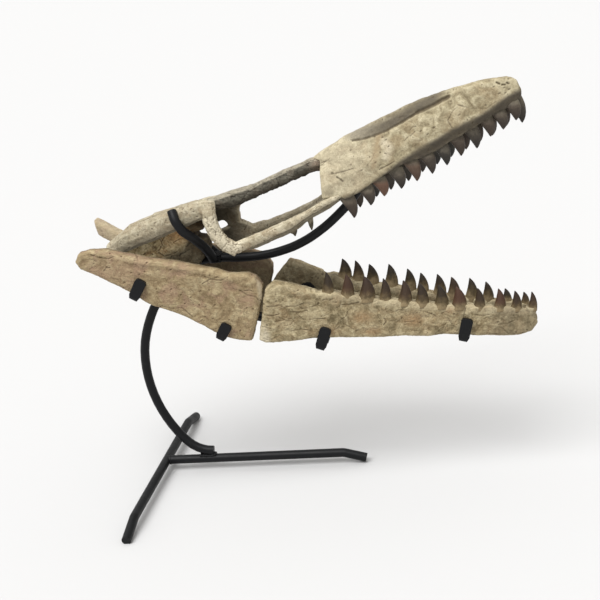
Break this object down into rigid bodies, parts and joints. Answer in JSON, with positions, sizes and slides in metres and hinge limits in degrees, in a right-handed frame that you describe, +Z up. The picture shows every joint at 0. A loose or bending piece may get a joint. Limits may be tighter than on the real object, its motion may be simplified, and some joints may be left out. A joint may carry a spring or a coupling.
{
  "type": "mosasaur skull fossil",
  "caption": "Fossil mosasaur skull with its jaws agape, carried by hooks and clips on a welded black rod stand.",
  "frame": {"origin": "on the floor, under the middle of the whole specimen", "axes": "+X toward the snout, +Y toward the left side of the animal, +Z up"},
  "size_m": [0.4827, 0.3054, 0.4175],
  "materials": {
    "tan_bone": "matte, pitted",
    "yellow_bone": "matte, grained",
    "cream_bone": "matte, cracked",
    "grey_bone": "matte, broken",
    "black_steel": "satin"
  },
  "bodies": {
    "root": {"jaw_rear_right": "tan_bone", "jaw_rear_left": "tan_bone", "braincase": "tan_bone", "dentary_right": "yellow_bone", "dentary_left": "yellow_bone", "premaxilla": "cream_bone", "maxilla_right": "cream_bone", "maxilla_left": "cream_bone", "temporal_bar_right": "cream_bone", "temporal_bar_left": "cream_bone", "postorbital_right": "cream_bone", "postorbital_left": "cream_bone", "jugal_right": "cream_bone", "jugal_left": "cream_bone", "pterygoid_right": "cream_bone", "pterygoid_left": "cream_bone", "parietal": "grey_bone", "frontal": "grey_bone", "stand_stem": "black_steel", "stand_crossbar": "black_steel", "stand_upright": "black_steel", "stand_muzzle_rod": "black_steel", "stand_hook_right": "black_steel", "stand_hook_left": "black_steel", "stand_clip_a_right": "black_steel", "stand_clip_a_left": "black_steel", "stand_clip_b_right": "black_steel", "stand_clip_b_left": "black_steel", "stand_clip_c_right": "black_steel", "stand_clip_c_left": "black_steel", "stand_cross_a": "black_steel", "stand_cross_b": "black_steel", "stand_cross_c": "black_steel", "stand_clip_d": "black_steel", "stand_prop": "black_steel", "stand_spine": "black_steel"}
  },
  "joints": []
}
